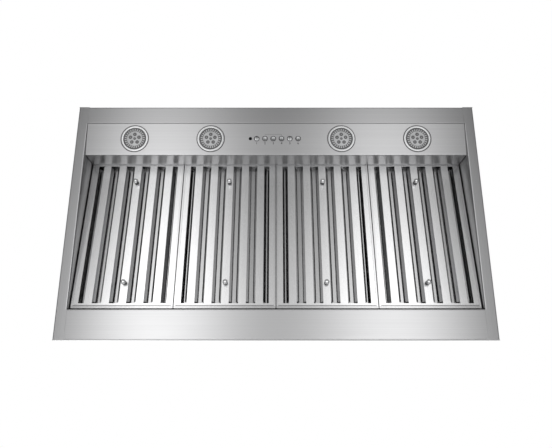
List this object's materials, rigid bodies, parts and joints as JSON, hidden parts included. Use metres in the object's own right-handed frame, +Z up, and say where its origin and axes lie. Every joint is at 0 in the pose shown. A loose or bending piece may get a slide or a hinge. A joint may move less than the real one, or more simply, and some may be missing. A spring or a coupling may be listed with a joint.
{
  "type": "range hood insert",
  "caption": "Stainless range hood insert with removable baffle filters, round lamps, push buttons, a blower and a round duct collar with a damper.",
  "frame": {"origin": "centre of the flange, in the plane of its lower face", "axes": "+Z up, -Y is the front edge with the lamps and buttons, +Y is the wall side, +X is to the right of someone who stands at the front"},
  "size_m": [1.178, 0.682, 0.4223],
  "materials": {
    "visible_stainless": "brushed",
    "filter_stainless": "brushed",
    "galvanised": "satin",
    "chrome": "polished",
    "button_metal": "satin",
    "lamp_lens": "gloss",
    "black_plastic": "matte",
    "circuit_board": "satin",
    "spring_steel": "brushed",
    "dark_steel": "satin",
    "motor_paint": "satin",
    "damper_aluminium": "satin",
    "gland_metal": "satin"
  },
  "bodies": {
    "insert": {"side_rail_left": "visible_stainless", "side_rail_right": "visible_stainless", "front_strip": "visible_stainless", "control_panel": "visible_stainless", "rear_panel": "visible_stainless", "filter_catch_rail": "spring_steel", "lamp_1_housing": "chrome", "lamp_1_lens": "lamp_lens", "lamp_2_housing": "chrome", "lamp_2_lens": "lamp_lens", "lamp_3_housing": "chrome", "lamp_3_lens": "lamp_lens", "lamp_4_housing": "chrome", "lamp_4_lens": "lamp_lens", "receiver_window": "black_plastic", "switch_housing": "black_plastic", "control_board": "circuit_board", "housing_front": "galvanised", "housing_rear": "galvanised", "housing_left": "galvanised", "housing_right": "galvanised", "housing_top": "galvanised", "blower_box": "galvanised", "duct_collar": "galvanised", "blower_scroll": "galvanised", "blower_motor": "motor_paint", "motor_bracket": "galvanised", "led_driver": "black_plastic", "junction_box": "galvanised", "junction_box_cover": "galvanised", "cable_gland": "gland_metal", "hanger_left": "galvanised", "hanger_right": "galvanised"},
    "filter_1": {"filter_1_frame": "filter_stainless", "filter_1_baffles": "filter_stainless", "filter_1_knob_front": "chrome", "filter_1_knob_rear": "chrome"},
    "filter_2": {"filter_2_frame": "filter_stainless", "filter_2_baffles": "filter_stainless", "filter_2_knob_front": "chrome", "filter_2_knob_rear": "chrome"},
    "filter_3": {"filter_3_frame": "filter_stainless", "filter_3_baffles": "filter_stainless", "filter_3_knob_front": "chrome", "filter_3_knob_rear": "chrome"},
    "filter_4": {"filter_4_frame": "filter_stainless", "filter_4_baffles": "filter_stainless", "filter_4_knob_front": "chrome", "filter_4_knob_rear": "chrome"},
    "button_1": {"button_1": "button_metal"},
    "button_2": {"button_2": "button_metal"},
    "button_3": {"button_3": "button_metal"},
    "button_4": {"button_4": "button_metal"},
    "button_5": {"button_5": "button_metal"},
    "button_6": {"button_6": "button_metal"},
    "damper_flap_front": {"damper_flap_front": "damper_aluminium"},
    "damper_flap_rear": {"damper_flap_rear": "damper_aluminium"},
    "blower_rotor": {"blower_wheel": "galvanised", "motor_shaft": "dark_steel"}
  },
  "joints": [
    {"name": "filter_1_swing", "type": "hinge", "parent": "insert", "child": "filter_1", "pos_m": [0, -0.18415, 0.0703], "axis": [-1, 0, 0], "range_deg": [0, 60]},
    {"name": "filter_2_swing", "type": "hinge", "parent": "insert", "child": "filter_2", "pos_m": [0, -0.18415, 0.0703], "axis": [-1, 0, 0], "range_deg": [0, 60]},
    {"name": "filter_3_swing", "type": "hinge", "parent": "insert", "child": "filter_3", "pos_m": [0, -0.18415, 0.0703], "axis": [-1, 0, 0], "range_deg": [0, 60]},
    {"name": "filter_4_swing", "type": "hinge", "parent": "insert", "child": "filter_4", "pos_m": [0, -0.18415, 0.0703], "axis": [-1, 0, 0], "range_deg": [0, 60]},
    {"name": "button_1_press", "type": "slide", "parent": "insert", "child": "button_1", "axis": [0, -0.0802, 0.9968], "range_m": [0, 0.0018], "stiffness_N_per_m": 300, "springref_m": -0.002},
    {"name": "button_2_press", "type": "slide", "parent": "insert", "child": "button_2", "axis": [0, -0.0802, 0.9968], "range_m": [0, 0.0018], "stiffness_N_per_m": 300, "springref_m": -0.002},
    {"name": "button_3_press", "type": "slide", "parent": "insert", "child": "button_3", "axis": [0, -0.0802, 0.9968], "range_m": [0, 0.0018], "stiffness_N_per_m": 300, "springref_m": -0.002},
    {"name": "button_4_press", "type": "slide", "parent": "insert", "child": "button_4", "axis": [0, -0.0802, 0.9968], "range_m": [0, 0.0018], "stiffness_N_per_m": 300, "springref_m": -0.002},
    {"name": "button_5_press", "type": "slide", "parent": "insert", "child": "button_5", "axis": [0, -0.0802, 0.9968], "range_m": [0, 0.0018], "stiffness_N_per_m": 300, "springref_m": -0.002},
    {"name": "button_6_press", "type": "slide", "parent": "insert", "child": "button_6", "axis": [0, -0.0802, 0.9968], "range_m": [0, 0.0018], "stiffness_N_per_m": 300, "springref_m": -0.002},
    {"name": "blower_spin", "type": "hinge", "parent": "insert", "child": "blower_rotor", "pos_m": [0, -0.057, 0.23567], "axis": [1, 0, 0], "continuous": true},
    {"name": "damper_front_swing", "type": "hinge", "parent": "insert", "child": "damper_flap_front", "pos_m": [0, 0.04, 0.3729], "axis": [-1, 0, 0], "range_deg": [0, 80]},
    {"name": "damper_rear_swing", "type": "hinge", "parent": "insert", "child": "damper_flap_rear", "pos_m": [0, 0.04, 0.3729], "axis": [1, 0, 0], "range_deg": [0, 80]}
  ]
}
